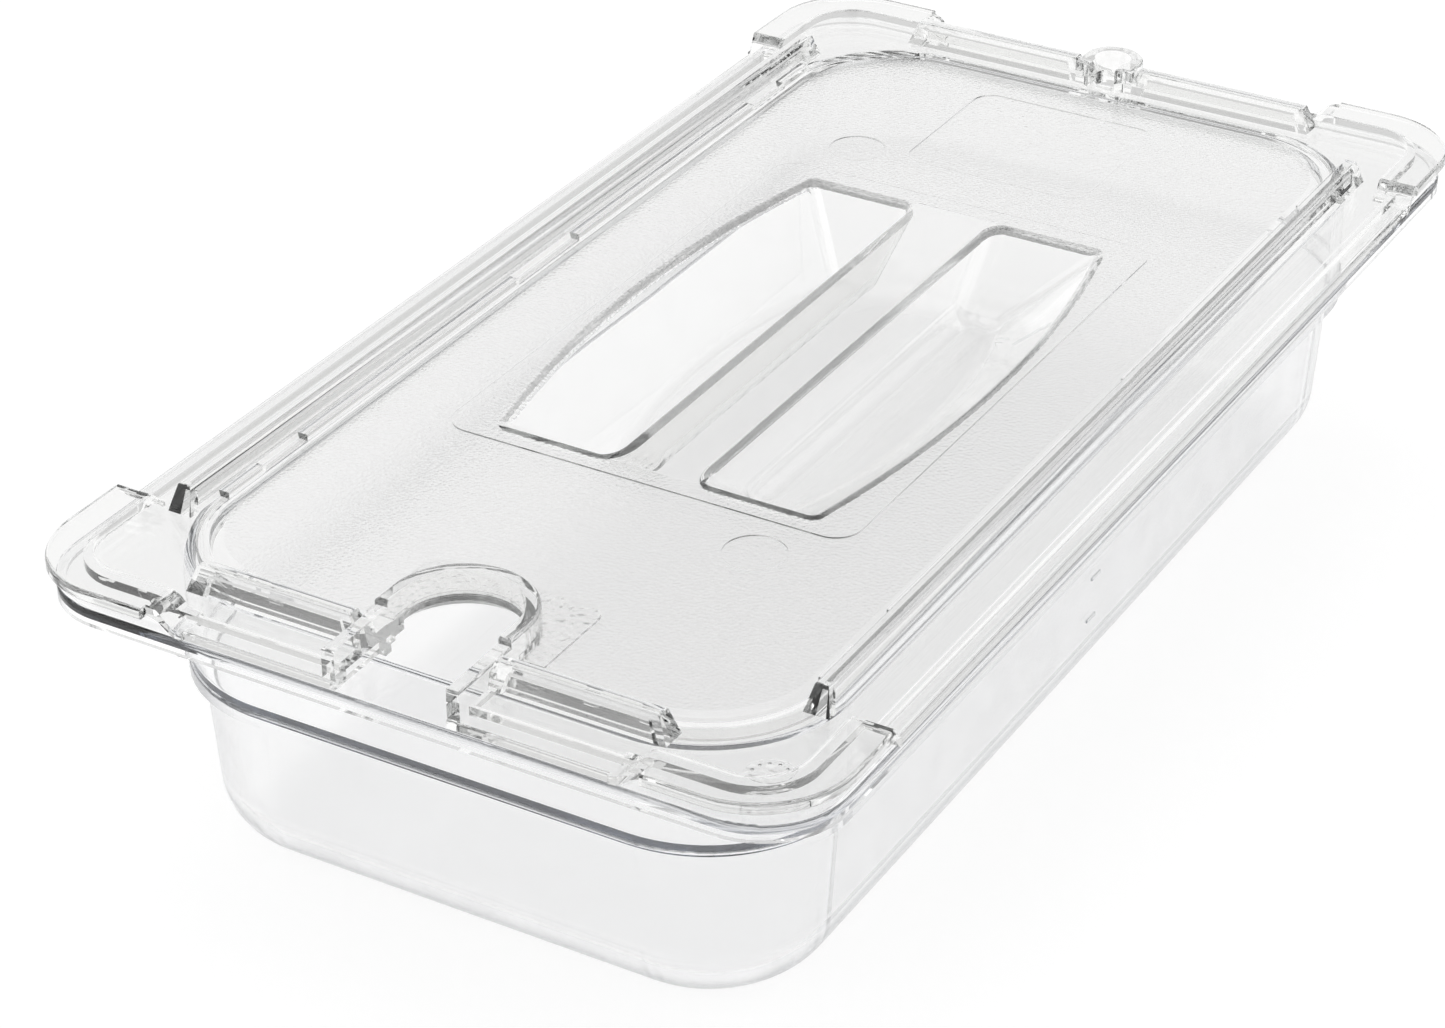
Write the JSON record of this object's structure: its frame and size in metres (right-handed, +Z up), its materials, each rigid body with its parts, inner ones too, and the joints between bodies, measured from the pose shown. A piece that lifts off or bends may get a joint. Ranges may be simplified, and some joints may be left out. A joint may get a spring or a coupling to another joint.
{
  "type": "food pan with lid",
  "caption": "Shallow clear one-third-size food pan with rounded corners and a wide rim, and a loose clear lid with a sunken grip bar, a utensil slot and a hanging eye.",
  "frame": {"origin": "middle of the pan's base, on the surface that the pan stands on", "axes": "+X across the pan's width, +Y along its length towards the hanging eye, +Z up; the utensil slot is at the -Y end"},
  "size_m": [0.179, 0.3298, 0.0752],
  "materials": {
    "pan_plastic": "clear, polished inside and out",
    "lid_plastic": "clear, with a finely stippled middle panel"
  },
  "bodies": {
    "pan": {"pan": "pan_plastic"},
    "lid": {"lid": "lid_plastic"}
  },
  "joints": [
    {"name": "lid_lift", "type": "slide", "parent": "pan", "child": "lid", "axis": [0, 0, 1], "range_m": [0, 0.1]}
  ]
}
